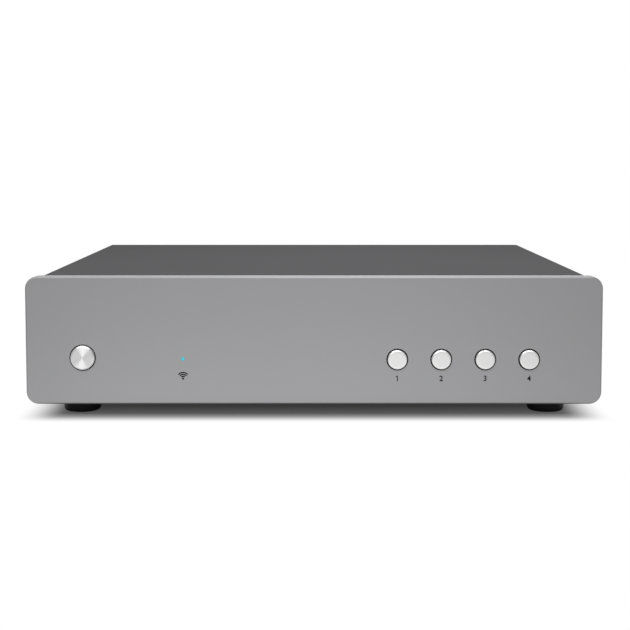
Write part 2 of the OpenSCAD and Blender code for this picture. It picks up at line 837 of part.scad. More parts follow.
module ribbon_cable() {
    y_turn = y_ribbon_front + ribbon_run;
    y_drop = y_turn + ribbon_bend_r;
    half = ribbon_t / 2;
    color("white")
        translate([ribbon_x - ribbon_w / 2, 0, 0]) rotate([90, 0, 90]) linear_extrude(ribbon_w) {
            translate([y_ribbon_front, z_ribbon_high - half]) square([ribbon_run, ribbon_t]);
            translate([y_turn, z_ribbon_high - ribbon_bend_r]) quarter_ring(ribbon_bend_r, ribbon_t, 0);
            translate([y_drop - half, z_ribbon_low + ribbon_bend_r])
                square([ribbon_t, ribbon_fall - 2 * ribbon_bend_r]);
            translate([y_drop + ribbon_bend_r, z_ribbon_low + ribbon_bend_r])
                quarter_ring(ribbon_bend_r, ribbon_t, 180);
            translate([y_drop + ribbon_bend_r, z_ribbon_low - half])
                square([y_ribbon_back - y_drop - ribbon_bend_r, ribbon_t]);
        }
}

module ribbon_sockets()
    color(plastic_white) {
        x = [ribbon_x - ribbon_socket_w / 2, ribbon_x + ribbon_socket_w / 2];
        span(x, [y_control + board_t, y_ribbon_front],
            [z_ribbon_high - ribbon_socket_h / 2, z_ribbon_high + ribbon_socket_h / 2]);
        span(x, [y_ribbon_back, y_ribbon_back + ribbon_socket_l], [z_top, z_top + ribbon_socket_h]);
    }

// Main board and what it carries

module board(x, y, corners)
    color(board_green)
        difference() {
            span(x, y, [z_board, z_top]);
            for (c = corners)
                rod_z(loose_r, c[0], c[1], [z_board - eps, z_top + eps]);
        }

module main_chips()
    color(plastic_black) {
        stand(processor_size, [processor_x, processor_y], z_top);
        for (y = memory_rows)
            stand(memory_size, [main_x[0] + memory_column, y_inner - y], z_top);
        stand(converter_size, [main_x[1] - converter_spot[0], y_inner - converter_spot[1]], z_top);
        stand(codec_size, [main_x[1] - codec_spot[0], y_inner - codec_spot[1]], z_top);
        for (x = amplifier_columns)
            stand(amplifier_size, [main_x[1] - x, y_inner - amplifier_row], z_top);
    }

module main_capacitors()
    color(dark_steel)
        for (x = can_columns, y = can_rows)
            rod_z(can_r, main_x[1] - x, y_inner - y, [z_top, z_top + can_h]);

module processor_heatsink() {
    z = z_top + processor_size[2];
    fin_step = (sink_size[0] - sink_fin_t) / (sink_fins - 1);
    color(steel) {
        stand([sink_size[0], sink_size[1], sink_base], [processor_x, processor_y], z);
        for (i = [0:sink_fins - 1])
            stand([sink_fin_t, sink_size[1], sink_size[2]],
                [processor_x - sink_size[0] / 2 + sink_fin_t / 2 + i * fin_step, processor_y], z);
    }
}

module network_module()
    color(board_green) {
        stand([module_header[0], module_header[1], module_header[2] + eps], [module_x, module_y], z_top);
        stand(module_size, [module_x, module_y], z_module);
        for (x = module_jack_x)
            rod_z(module_jack_r, module_x + x, module_y + module_jack_y,
                [z_module, z_module_top + module_jack_h]);
    }

module module_shield()
    color(nickel)
        stand(module_can, [module_x, module_y + module_can_shift], z_module_top);

// Power supply

module psu_transformer() {
    z_coil = z_top + transformer_leg;
    color(dark_steel)
        difference() {
            stand(transformer_core, transformer_at, z_top);
            stand([transformer_coil[0], transformer_core[1] + eps, transformer_coil[2]],
                transformer_at, z_coil);
        }
    color(coil_yellow)
        stand(transformer_coil, transformer_at, z_coil);
}

module psu_capacitor()
    color(dark_steel)
        rod_z(bulk_r, bulk_at[0], bulk_at[1], [z_top, z_top + bulk_h]);

module psu_heatsink()
    color(steel) {
        stand(psu_sink, psu_sink_at, z_top);
        stand([psu_sink_foot, psu_sink[1], psu_sink[0]],
            [psu_sink_at[0] - psu_sink_foot / 2 + psu_sink[0] / 2, psu_sink_at[1]],
            z_top + psu_sink[2] - psu_sink[0]);
    }

module dc_headers()
    color(plastic_white)
        for (x = dc_header_x)
            stand(dc_header, [x, dc_header_y], z_top);

module dc_leads() {
    z = z_top + dc_header[2];
    color("firebrick")
        for (i = [0:lead_count - 1]) {
            y = dc_header_y + (i - (lead_count - 1) / 2) * lead_pitch;
            lead([dc_header_x[0], y, z], [dc_header_x[0], y, z + lead_arch],
                [dc_header_x[1], y, z + lead_arch], [dc_header_x[1], y, z], [0, 1, 0]);
        }
}

// Rear sockets

module figure_eight(depth)
    translate([mains_x, y_mains + eps, z_mains]) rotate([90, 0, 0]) linear_extrude(depth + eps) {
        for (x = [-mains_pin_pitch / 2, mains_pin_pitch / 2])
            translate([x, 0]) circle(mains_lobe_r);
        translate([-mains_pin_pitch / 2, -mains_waist / 2]) square([mains_pin_pitch, mains_waist]);
    }

module mains_inlet()
    color(plastic_black)
        difference() {
            span([mains_x - mains_size[0] / 2, mains_x + mains_size[0] / 2],
                [y_mains - mains_size[1], y_mains], [z_top, z_top + mains_size[2]]);
            figure_eight(mains_hole_d);
            for (x = mains_pin_x)
                rod_y(mains_pin_d / 2 + press_clear, x, [y_mains - mains_size[1] - eps, y_mains], z_mains);
        }

module mains_pins()
    color(gold)
        for (x = mains_pin_x)
            rod_y(mains_pin_d / 2, x,
                [y_mains - mains_size[1] - mains_pin_tail, y_mains - mains_pin_short], z_mains);

module ethernet_socket() {
    z_plug = z_top + ethernet_plug_rise;
    z_latch = z_plug + ethernet_plug[2];
    color(nickel)
        difference() {
            span([ethernet_x - ethernet_size[0] / 2, ethernet_x + ethernet_size[0] / 2],
                [y_socket - ethernet_size[1], y_socket], [z_top, z_top + ethernet_size[2]]);
            span([ethernet_x - ethernet_plug[0] / 2, ethernet_x + ethernet_plug[0] / 2],
                [y_socket - ethernet_plug[1], y_socket + eps], [z_plug, z_latch]);
            span([ethernet_x - ethernet_latch[0] / 2, ethernet_x + ethernet_latch[0] / 2],
                [y_socket - ethernet_latch[1], y_socket + eps],
                [z_latch - eps, z_latch + ethernet_latch[2]]);
        }
}

module usb_socket()
    color(nickel)
        difference() {
            span([usb_x - usb_size[0] / 2, usb_x + usb_size[0] / 2],
                [y_socket - usb_size[1], y_socket], [z_top, z_top + usb_size[2]]);
            span([usb_x - usb_size[0] / 2 + usb_wall, usb_x + usb_size[0] / 2 - usb_wall],
                [y_socket - usb_size[1] + usb_wall, y_socket + eps],
                [z_top + usb_wall, z_top + usb_size[2] - usb_wall]);
        }

module usb_tongue() {
    y_block = y_socket - usb_size[1] + usb_wall;
    color(plastic_white) {
        span([usb_x - usb_size[0] / 2 + usb_wall, usb_x + usb_size[0] / 2 - usb_wall],
            [y_block, y_block + usb_block_l], [z_top + usb_wall, z_top + usb_size[2] - usb_wall]);
        span([usb_x - usb_tongue[0] / 2, usb_x + usb_tongue[0] / 2],
            [y_block, y_block + usb_block_l + usb_tongue[1]],
            [z_top + usb_tongue_rise, z_top + usb_tongue_rise + usb_tongue[2]]);
    }
}

module optical_socket() {
    half_w = optical_hole[0] / 2;
    pin_reach = half_w + shutter_pin_in + run_clear;
    color(plastic_black)
        difference() {
            span([optical_x - optical_size[0] / 2, optical_x + optical_size[0] / 2],
                [y_socket - optical_size[1], y_socket], [z_top, z_top + optical_size[2]]);
            span([optical_x - half_w, optical_x + half_w], [y_socket - optical_hole[1], y_socket + eps],
                [z_optical_hole, z_optical_hole + optical_hole[2]]);
            rod_x(shutter_pin_r + run_clear, [optical_x - pin_reach, optical_x + pin_reach],
                y_shutter, z_shutter);
            rod_y(optical_lens_r, optical_x,
                [y_socket - optical_hole[1] - optical_lens_l, y_socket - optical_hole[1] + eps],
                z_optical_hole + optical_hole[2] / 2);
        }
}

module optical_shutter() {
    half_w = optical_hole[0] / 2;
    color(dark_steel) {
        span([optical_x - half_w + shutter_side_gap, optical_x + half_w - shutter_side_gap],
            [y_shutter - shutter_t / 2, y_shutter + shutter_t / 2],
            [z_optical_hole + shutter_foot_gap, z_shutter]);
        rod_x(shutter_pin_r, [optical_x - half_w - shutter_pin_in, optical_x + half_w + shutter_pin_in],
            y_shutter, z_shutter);
    }
}

// Moulded blocks behind the audio sockets: one for the digital output, one for the pair
module rca_blocks()
    color(plastic_black)
        for (group = [[coax_x], [left_x, right_x]])
            difference() {
                span([group[0] - rca_block_w / 2, group[len(group) - 1] + rca_block_w / 2],
                    [y_inner - rca_block_d, y_inner], [z_top, z_rca + rca_block_over]);
                for (x = group)
                    rod_y(rca_core_r + press_clear, x, [y_inner - rca_core_in, y_inner + eps], z_rca);
            }

module rca_barrels()
    color(gold)
        for (x = rca_x)
            difference() {
                rod_y(rca_barrel_r, x, [y_rear + rca_nose_proud, y_rear + rca_reach], z_rca);
                rod_y(rca_core_r + press_clear, x, [y_rear, y_rear + rca_reach + eps], z_rca);
            }

// Coloured moulding that carries a barrel: a nose through the rear panel and a core with the pin hole
module insulator(x, shade)
    color(shade)
        difference() {
            union() {
                rod_y(rca_nose_r, x, [y_inner, y_rear + rca_nose_proud], z_rca);
                rod_y(rca_core_r, x, [y_inner - rca_core_in, y_rear + rca_reach - rca_tip_in], z_rca);
            }
            rod_y(rca_pin_d / 2, x, [y_inner - rca_core_in + rca_pin_floor, y_rear + rca_reach], z_rca);
        }

module hex_y(w, x, y, z)
    translate([x, y[1], z]) rotate([90, 0, 0]) cylinder(h = y[1] - y[0], d = w / cos(30), $fn = 6);

module antenna_sockets()
    color(gold)
        for (x = antenna_x) {
            y_tip = y_rear + antenna_reach;
            difference() {
                union() {
                    rod_y(antenna_neck_r, x, [y_inner - antenna_hex_t, y_tip - eps], z_antenna);
                    rod_y(antenna_r, x, [y_rear + antenna_nut_t, y_tip], z_antenna);
                    hex_y(antenna_hex_w, x, [y_inner - antenna_hex_t, y_inner], z_antenna);
                    rod_y(antenna_tail_r, x, [y_tail, y_inner], z_antenna);
                }
                difference() {
                    rod_y(antenna_bore_r, x, [y_tip - antenna_bore_l, y_tip + eps], z_antenna);
                    rod_y(antenna_pin_r, x, [y_tip - antenna_bore_l - eps, y_tip - antenna_pin_short],
                        z_antenna);
                }
            }
        }

module antenna_nuts()
    color(nickel)
        for (x = antenna_x)
            difference() {
                hex_y(antenna_hex_w, x, [y_rear, y_rear + antenna_nut_t], z_antenna);
                rod_y(antenna_r + thread_clear, x, [y_rear - eps, y_rear + antenna_nut_t + eps], z_antenna);
            }

module antenna_leads()
    color(dark_steel)
        for (i = [0, 1]) {
            tail = [antenna_x[i], y_tail, z_antenna];
            jack = [module_x + module_jack_x[i], module_y + module_jack_y, z_module_top + module_jack_h];
            lead(tail, tail - [0, antenna_lead_out, 0], jack + [0, 0, antenna_lead_arch], jack, [0, 1, -1]);
        }

front_panel();
top_cover();
chassis_tray();
rear_panel();
foot(-foot_x, foot_y[0]);  // foot_front_left
foot(foot_x, foot_y[0]);  // foot_front_right
foot(-foot_x, foot_y[1]);  // foot_rear_left
foot(foot_x, foot_y[1]);  // foot_rear_right
case_screws();
inner_screws();
board_standoffs();
button_guide();
control_board();
tact_switches();
light_pipe();
status_led();
ribbon_cable();
ribbon_sockets();
board(main_x, main_y, main_corners);  // main_board
main_chips();
main_capacitors();
processor_heatsink();
network_module();
module_shield();
board(psu_x, psu_y, psu_corners);  // psu_board
psu_transformer();
psu_capacitor();
psu_heatsink();
dc_leads();
dc_headers();
mains_inlet();
mains_pins();
ethernet_socket();
usb_socket();
usb_tongue();
optical_socket();
optical_shutter();
rca_blocks();
rca_barrels();
insulator(coax_x, "darkorange");  // coax_insulator
insulator(left_x, plastic_white);  // left_insulator
insulator(right_x, "firebrick");  // right_insulator
antenna_sockets();
antenna_nuts();
antenna_leads();
for (i = buttons) {
    cap(i);
    plunger(i);
    switch_stem(i);
}
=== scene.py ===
"""Looks of a compact network music streamer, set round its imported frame. All lengths are in metres."""

import json
import math

import bmesh
import bpy
from mathutils import Matrix, Vector


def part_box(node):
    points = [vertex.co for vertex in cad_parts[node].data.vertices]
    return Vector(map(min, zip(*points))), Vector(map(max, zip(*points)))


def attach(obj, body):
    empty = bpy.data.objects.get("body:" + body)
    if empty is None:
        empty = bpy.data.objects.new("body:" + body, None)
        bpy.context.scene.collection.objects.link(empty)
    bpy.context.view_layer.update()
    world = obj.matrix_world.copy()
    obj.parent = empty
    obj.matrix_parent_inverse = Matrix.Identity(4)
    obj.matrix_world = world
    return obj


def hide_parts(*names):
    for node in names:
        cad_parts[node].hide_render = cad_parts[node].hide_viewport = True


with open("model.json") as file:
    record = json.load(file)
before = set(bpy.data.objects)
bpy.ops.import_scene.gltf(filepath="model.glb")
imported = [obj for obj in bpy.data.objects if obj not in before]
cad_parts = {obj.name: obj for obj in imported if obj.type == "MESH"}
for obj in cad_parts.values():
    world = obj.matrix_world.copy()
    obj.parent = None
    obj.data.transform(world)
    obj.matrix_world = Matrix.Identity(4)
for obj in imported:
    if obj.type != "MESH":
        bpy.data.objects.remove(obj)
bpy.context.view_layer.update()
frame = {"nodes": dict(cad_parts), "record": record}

MM = 0.001
scene = bpy.context.scene
scene.view_settings.view_transform = "Standard"


# Shader arithmetic

class Field:
    """A shader socket: arithmetic on it adds Math nodes, and node() adds any other node."""

    def __init__(self, tree, socket=None):
        self.tree = tree
        self.socket = socket

    def node(self, kind, settings=None, sockets=None, out=0):
        """A node of that type: its settings first, then the values or links of its sockets."""
        made = self.tree.nodes.new(kind)
        for name, setting in (settings or {}).items():
            setattr(made, name, setting)
        for key, source in (sockets or {}).items():
            if isinstance(source, Field):
                self.tree.links.new(source.socket, made.inputs[key])
            else:
                made.inputs[key].default_value = source
        return Field(self.tree, None if out is None else made.outputs[out])

    def math(self, operation, *terms):
        return self.node("ShaderNodeMath", {"operation": operation}, dict(enumerate(terms)))

    def vector(self, operation, *terms, out=0):
        return self.node("ShaderNodeVectorMath", {"operation": operation}, dict(enumerate(terms)), out)

    def ramp(self, low, high):
        """0 where this is at low and 1 where it is at high, smooth between."""
        span = {"Value": self, "From Min": low, "From Max": high}
        return self.node("ShaderNodeMapRange", {"interpolation_type": "SMOOTHSTEP"}, span)

    def __add__(self, other):
        return self.math("ADD", self, other)

    def __sub__(self, other):
        return self.math("SUBTRACT", self, other)

    def __rsub__(self, other):
        return self.math("SUBTRACT", other, self)

    def __mul__(self, other):
        return self.math("MULTIPLY", self, other)

    __radd__ = __add__
    __rmul__ = __mul__


def scaled(colour, factor):
    """A colour made darker or lighter."""
    return (*[channel * factor for channel in colour[:3]], 1.0)


def grey(level):
    return (level, level, level, 1.0)


class Finish:
    """A material with one Principled shader, and the patterns that feed it."""

    def __init__(self, name, constants=None):
        self.material = bpy.data.materials.new(name)
        self.material.use_nodes = True
        self.tree = self.material.node_tree
        self.shader = self.tree.nodes["Principled BSDF"]
        for socket, value in (constants or {}).items():
            self.shader.inputs[socket].default_value = value
        self.start = Field(self.tree)
        self.place = self.start.node("ShaderNodeTexCoord", out="Object")
        self.facing = self.start.node("ShaderNodeTexCoord", out="Normal")

    def feed(self, socket, field):
        self.tree.links.new(field.socket, self.shader.inputs[socket])

    def axis(self, vector, name):
        """One coordinate of a vector, by the letter of its axis."""
        return self.start.node("ShaderNodeSeparateXYZ", None, {0: vector}, name)

    def noise(self, scale, detail=2.0, stretch=(1, 1, 1)):
        """Noise from 0 to 1 with features of about 1 / scale, drawn out by stretch."""
        drawn = self.place.vector("MULTIPLY", self.place, stretch)
        sockets = {"Vector": drawn, "Scale": scale, "Detail": detail}
        return self.start.node("ShaderNodeTexNoise", None, sockets)

    def cells(self, scale, feature):
        """Distance within a pattern of cells, to their middles or to their borders."""
        sockets = {"Vector": self.place, "Scale": scale}
        return self.start.node("ShaderNodeTexVoronoi", {"feature": feature}, sockets, "Distance")

    def mix(self, share, first, second):
        """The colour that lies at that share between two colours."""
        return self.start.node("ShaderNodeMix", {"data_type": "RGBA"}, {0: share, 6: first, 7: second}, 2)

    def relief(self, height, depth):
        """Fine relief of that depth, by way of the shader's normal."""
        sockets = {"Height": height, "Distance": depth}
        self.feed("Normal", self.start.node("ShaderNodeBump", None, sockets, "Normal"))


def grained(name, colour, roughness, grain, spread=0.06, gloss_spread=0.1, depth=0.0, cloud=16.0,
            stretch=(1, 1, 1), **constants):
    """Finish with a fine grain and broad clouds: its colour, gloss and relief vary with them."""
    finish = Finish(name, {key.replace("_", " "): value for key, value in constants.items()})
    fine = finish.noise(grain, stretch=stretch)
    broad = finish.noise(cloud, detail=3.0)
    share = 0.5 * fine + 0.5 * broad
    dark = scaled(colour, 1 - 2 * spread)
    pale = scaled(colour, 1 + 2 * spread)
    finish.feed("Base Color", finish.mix(share, dark, pale))
    finish.feed("Roughness", roughness - gloss_spread + gloss_spread * (fine + broad))
    if depth:
        finish.relief(fine, depth)
    return finish


# Finishes

def anodised_panel():
    """Bead-blasted aluminium, anodised grey: a satin metal with a very fine tooth."""
    return grained("front_panel", (0.42, 0.42, 0.429), 0.46, 2600.0, spread=0.012, gloss_spread=0.03,
                   depth=0.004 * MM, cloud=9.0, Metallic=1.0, Specular_Tint=grey(0.45))


def fine_paint(name, colour, roughness, gloss):
    """Textured stoving paint on steel: small soft grains with a low sheen."""
    return grained(name, colour, roughness, 1100.0, spread=0.03, gloss_spread=0.06, depth=0.02 * MM,
                   cloud=11.0, Specular_IOR_Level=gloss)


def foot_rubber():
    """Black moulded rubber, dusty grey where it is rubbed near the floor."""
    rub_low = 0.1 * MM
    rub_high = 1.6 * MM
    finish = Finish("foot_rubber", {"Specular IOR Level": 0.22})
    fine = finish.noise(1500.0)
    broad = finish.noise(140.0, detail=3.0)
    height = finish.axis(finish.place, "Z")
    rubbed = height.ramp(rub_high, rub_low) * broad
    black = finish.mix(fine, grey(0.0085), grey(0.0155))
    finish.feed("Base Color", finish.mix(0.5 * rubbed, black, grey(0.035)))
    finish.feed("Roughness", 0.52 + 0.2 * fine + 0.15 * rubbed)
    finish.relief(fine, 0.012 * MM)
    return finish


def spun_cap():
    """Bright aluminium turned on a lathe: fine rings about the button's axis."""
    finish = Finish("power_cap", {"Metallic": 1.0, "Anisotropic": 0.82, "Anisotropic Rotation": 0.25})
    out = finish.place.vector("MULTIPLY", finish.place, (1, 1, 0))
    radius = out.vector("LENGTH", out, out="Value")
    rings = finish.start.node("ShaderNodeTexNoise", {"noise_dimensions": "1D"},
                              {"W": radius, "Scale": 9000.0, "Detail": 2.0})
    finish.feed("Base Color", finish.mix(rings, grey(0.84), grey(0.91)))
    finish.feed("Roughness", 0.4 + 0.08 * rings)
    finish.relief(rings, 0.0012 * MM)
    return finish


def light_window():
    """Clear moulding lit from behind: pale blue in the middle and deeper at its rim."""
    low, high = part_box("light_pipe")
    middle = (low + high) / 2
    core_r = 0.2 * MM
    rim_r = 0.75 * MM
    finish = Finish("light_pipe", {"Roughness": 0.25, "Emission Strength": 1.0})
    away = finish.place.vector("SUBTRACT", finish.place, middle)
    flat = away.vector("MULTIPLY", away, (1, 0, 1))
    radius = flat.vector("LENGTH", flat, out="Value")
    rim = radius.ramp(core_r, rim_r)
    haze = finish.noise(2200.0)
    glow = finish.mix(rim, (0.02, 0.42, 0.47, 1.0), (0.01, 0.2, 0.24, 1.0))
    finish.feed("Emission Color", finish.mix(0.2 * haze, glow, (0.2, 0.8, 0.9, 1.0)))
    finish.feed("Base Color", finish.mix(haze, (0.02, 0.16, 0.2, 1.0), (0.03, 0.2, 0.25, 1.0)))
    return finish


def board_mask():
    """Green solder mask over glass fibre, with tracks and tinned pads."""
    cells_per_metre = 330.0
    finish = Finish("circuit_board", {"Specular IOR Level": 0.5})
    track = finish.cells(cells_per_metre, "DISTANCE_TO_EDGE").ramp(0.1, 0.07)
    pad = finish.cells(cells_per_metre, "F1").ramp(0.2, 0.16)
    fibre = finish.noise(900.0)
    mask = finish.mix(fibre, (0.006, 0.065, 0.03, 1.0), (0.009, 0.085, 0.04, 1.0))
    tracked = finish.mix(track, mask, (0.02, 0.16, 0.07, 1.0))
    finish.feed("Base Color", finish.mix(pad, tracked, (0.62, 0.60, 0.55, 1.0)))
    finish.feed("Metallic", pad)
    finish.feed("Roughness", 0.34 + 0.1 * fibre)
    finish.relief(track + pad, 0.03 * MM)
    return finish


def capacitor_sleeve():
    """Dark shrunk sleeve with a pale stripe down one side, and a bare aluminium top."""
    finish = Finish("capacitor_sleeve")
    top = finish.axis(finish.facing, "Z").ramp(0.9, 0.96)
    stripe = finish.axis(finish.facing, "X").ramp(0.93, 0.95)
    fine = finish.noise(900.0)
    sleeve = finish.mix(fine, (0.008, 0.008, 0.012, 1.0), (0.012, 0.012, 0.02, 1.0))
    striped = finish.mix(stripe, sleeve, grey(0.35))
    finish.feed("Base Color", finish.mix(top, striped, grey(0.6)))
    finish.feed("Metallic", top)
    finish.feed("Roughness", 0.28 + 0.12 * fine)
    return finish


def transformer_finish():
    """Dark ferrite core round a winding wrapped in yellow tape."""
    low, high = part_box("psu_transformer")
    core_half = 6.05 * MM
    tape_edge = 0.05 * MM
    finish = Finish("transformer", {"Specular IOR Level": 0.4})
    away = finish.axis(finish.place, "Y") - (low.y + high.y) / 2
    tape = away.math("ABSOLUTE", away).ramp(core_half, core_half + tape_edge)
    fine = finish.noise(700.0, detail=3.0)
    wraps = finish.noise(260.0, stretch=(0.1, 0.1, 1))
    ferrite = finish.mix(fine, grey(0.02), grey(0.035))
    yellow = finish.mix(wraps, (0.62, 0.38, 0.03, 1.0), (0.72, 0.47, 0.05, 1.0))
    finish.feed("Base Color", finish.mix(tape, ferrite, yellow))
    finish.feed("Roughness", 0.7 - 0.35 * tape + 0.1 * fine)
    finish.relief(fine, 0.03 * MM)
    return finish


def ribbon_film():
    """White film cable: flat conductors show through it as fine stripes."""
    pitch = 1.0 * MM
    finish = Finish("ribbon", {"Specular IOR Level": 0.4})
    phase = finish.axis(finish.place, "X") * (2 * math.pi / pitch)
    wave = phase.math("SINE", phase)
    wire = wave.ramp(-0.2, 0.2)
    haze = finish.noise(60.0)
    film = finish.mix(haze, (0.74, 0.75, 0.78, 1.0), (0.82, 0.83, 0.85, 1.0))
    finish.feed("Base Color", finish.mix(0.3 * wire, film, (0.45, 0.47, 0.52, 1.0)))
    finish.feed("Roughness", 0.32 + 0.1 * haze)
    finish.relief(wire, 0.02 * MM)
    return finish


def plated(name, colour, roughness, grain=240.0, stretch=(1, 1, 1)):
    """Bright plated metal with faint draw marks and stains."""
    return grained(name, colour, roughness, grain, spread=0.05, gloss_spread=0.08, depth=0.002 * MM,
                   cloud=60.0, stretch=stretch, Metallic=1.0)


def moulded(name, colour, roughness, grain=1300.0, depth=0.008 * MM):
    """Moulded plastic with a fine spark-eroded texture."""
    return grained(name, colour, roughness, grain, spread=0.05, gloss_spread=0.08, depth=depth,
                   cloud=40.0)


finishes = {
    "front_panel": anodised_panel(),
    "cover_paint": fine_paint("cover_paint", (0.09, 0.09, 0.0925), 0.72, 0.0),
    "tray_steel": fine_paint("tray_steel", (0.028, 0.028, 0.030), 0.62, 0.2),
    "foot_rubber": foot_rubber(),
    "black_screw": plated("black_screw", (0.05, 0.05, 0.053), 0.36, grain=900.0),
    "zinc": plated("zinc", (0.55, 0.56, 0.58), 0.34, grain=420.0),
    "power_cap": spun_cap(),
    "preset_cap": grained("preset_cap", (0.96, 0.96, 0.956), 0.37, 2400.0, spread=0.012, gloss_spread=0.04,
                          depth=0.003 * MM, cloud=120.0, Metallic=1.0),
    "black_nylon": moulded("black_nylon", (0.012, 0.012, 0.014), 0.55),
    "circuit_board": board_mask(),
    "switch_metal": plated("switch_metal", (0.62, 0.62, 0.60), 0.36),
    "light_pipe": light_window(),
    "led": moulded("led", (0.82, 0.80, 0.62), 0.3),
    "ribbon": ribbon_film(),
    "white_nylon": moulded("white_nylon", (0.74, 0.72, 0.64), 0.5),
    "chip_epoxy": moulded("chip_epoxy", (0.010, 0.010, 0.011), 0.5, grain=2600.0),
    "capacitor_sleeve": capacitor_sleeve(),
    "heat_sink": plated("heat_sink", (0.34, 0.34, 0.36), 0.42, grain=1400.0, stretch=(1, 0.02, 1)),
    "transformer": transformer_finish(),
    "red_lead": moulded("red_lead", (0.38, 0.012, 0.008), 0.38),
    "black_lead": moulded("black_lead", (0.012, 0.012, 0.012), 0.4),
    "socket_black": moulded("socket_black", (0.011, 0.011, 0.012), 0.42),
    "shutter_grey": moulded("shutter_grey", (0.026, 0.026, 0.028), 0.46),
    "pin_brass": plated("pin_brass", (0.66, 0.56, 0.34), 0.28),
    "socket_metal": plated("socket_metal", (0.58, 0.57, 0.54), 0.30, grain=700.0, stretch=(0.05, 1, 1)),
    "gold_plate": plated("gold_plate", (0.78, 0.56, 0.22), 0.24),
    "orange_plastic": moulded("orange_plastic", (0.72, 0.16, 0.012), 0.36),
    "white_plastic": moulded("white_plastic", (0.76, 0.76, 0.73), 0.36),
    "red_plastic": moulded("red_plastic", (0.44, 0.010, 0.008), 0.36),
}
print_black = fine_paint("print_black", (0.010, 0.010, 0.011), 0.6, 0.0)
print_pale = moulded("print_pale", (0.62, 0.62, 0.62), 0.62, depth=0.002 * MM)
window_green = moulded("window_green", (0.05, 0.20, 0.05), 0.25)
window_amber = moulded("window_amber", (0.40, 0.20, 0.03), 0.25)

for row in frame["record"]["subparts"]:
    coats = frame["nodes"][row["node"]].data.materials
    coats.clear()
    coats.append(finishes[row["material_slot"]].material)


# Making of pieces

merge_gap = 1e-7


def piece(name, mesh, body, finish, at=None, crease=38.0):
    """Puts a mesh in the scene as a piece that rides on a body."""
    made = bpy.data.objects.new(name, mesh)
    scene.collection.objects.link(made)
    if at is not None:
        made.matrix_world = at
    mesh.materials.append(finish.material)
    mesh.shade_smooth()
    mesh.set_sharp_from_angle(angle=math.radians(crease))
    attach(made, body)
    return made


def sealed(name, shape):
    """Mesh of a finished bmesh, with its faces turned outwards."""
    bmesh.ops.remove_doubles(shape, verts=shape.verts, dist=merge_gap)
    bmesh.ops.recalc_face_normals(shape, faces=shape.faces)
    mesh = bpy.data.meshes.new(name)
    shape.to_mesh(mesh)
    shape.free()
    return mesh


def skin(shape, rings, closed=False, capped=False):
    """Faces from each ring of points to the next; a ring of one point is a tip."""
    count = max(len(ring) for ring in rings)
    pairs = list(zip(rings, rings[1:]))
    if closed:
        pairs.append((rings[-1], rings[0]))
    for lower, upper in pairs:
        for k in range(count):
            ends = (lower[k % len(lower)], lower[(k + 1) % len(lower)],
                    upper[(k + 1) % len(upper)], upper[k % len(upper)])
            corners = list(dict.fromkeys(ends))
            if len(corners) > 2:
                shape.faces.new(corners)
    if capped:
        shape.faces.new(rings[0])
        shape.faces.new(rings[-1])


def add_turned(shape, profile, at=None, turns=96, closed=False):
    """Turns a profile of (radius, height) points about Z, and moves what it makes by the matrix at."""
    place = at or Matrix.Identity(4)
    rings = []
    for radius, height in profile:
        angles = [2 * math.pi * k / turns for k in range(turns if radius > 0 else 1)]
        rings.append([shape.verts.new(place @ Vector((radius * math.cos(a), radius * math.sin(a), height)))
                      for a in angles])
    skin(shape, rings, closed)


def add_prism(shape, outline, length, at):
    """Extrudes an outline of (x, y) points along Z, and moves it by the matrix at."""
    rings = [[shape.verts.new(at @ Vector((x, y, z))) for x, y in outline] for z in (0, length)]
    skin(shape, rings, capped=True)


def add_wire(shape, x, path, radius, sides=10):
    """Round wire along (y, z) points at one x."""
    rings = []
    for i, (y, z) in enumerate(path):
        before = path[max(i - 1, 0)]
        after = path[min(i + 1, len(path) - 1)]
        side = Vector((1, 0, 0))
        up = Vector((0, after[0] - before[0], after[1] - before[1])).normalized().cross(side)
        angles = [2 * math.pi * k / sides for k in range(sides)]
        rings.append([shape.verts.new(Vector((x, y, z)) + radius * (math.cos(a) * side + math.sin(a) * up))
                      for a in angles])
    skin(shape, rings, capped=True)


def add_thread(shape, root, crest, low, high, pitch, at, turns, steps=8, lead_in=0.8, lead_out=0.5):
    """Screw thread between two heights: its rows climb with the helix and run out at both ends."""
    rows = steps * (math.ceil((high - low) / pitch) + 1)
    grid = []
    for k in range(turns):
        angle = 2 * math.pi * k / turns
        column = []
        for j in range(rows + steps + 1):
            height = low + pitch * (j / steps + k / turns - 1)
            height = min(max(height, low), high)
            ridge = 1 - abs(2 * (j % steps) / steps - 1)
            run_out = min(1.0, (height - low) / (lead_in * pitch), (high - height) / (lead_out * pitch))
            radius = root + (crest - root) * ridge * run_out
            point = Vector((radius * math.cos(angle), radius * math.sin(angle), height))
            column.append(shape.verts.new(at @ point))
        grid.append(column)
    for k in range(turns):
        here = grid[k]
        there = grid[k + 1] if k + 1 < turns else grid[0][steps:]
        for j in range(rows):
            shape.faces.new((here[j], there[j], there[j + 1], here[j + 1]))


def rounded_edge(radius, height, edge, steps=6):
    """Points of a quarter round that turns a side of that radius into a top at that height."""
    angles = [math.pi / 2 * k / steps for k in range(steps + 1)]
    return [(radius - edge + edge * math.cos(a), height - edge + edge * math.sin(a)) for a in angles]


def add_block(shape, low, high, edge):
    """Block between two corners, with its edges rounded."""
    size = Vector(high) - Vector(low)
    place = Matrix.Translation((Vector(high) + Vector(low)) / 2) @ Matrix.Diagonal((*size, 1.0))
    cube = bmesh.ops.create_cube(shape, size=1.0, matrix=place)
    edges = list({e for v in cube["verts"] for e in v.link_edges})
    bmesh.ops.bevel(shape, geom=edges, offset=edge, segments=2, profile=0.5, affect="EDGES")


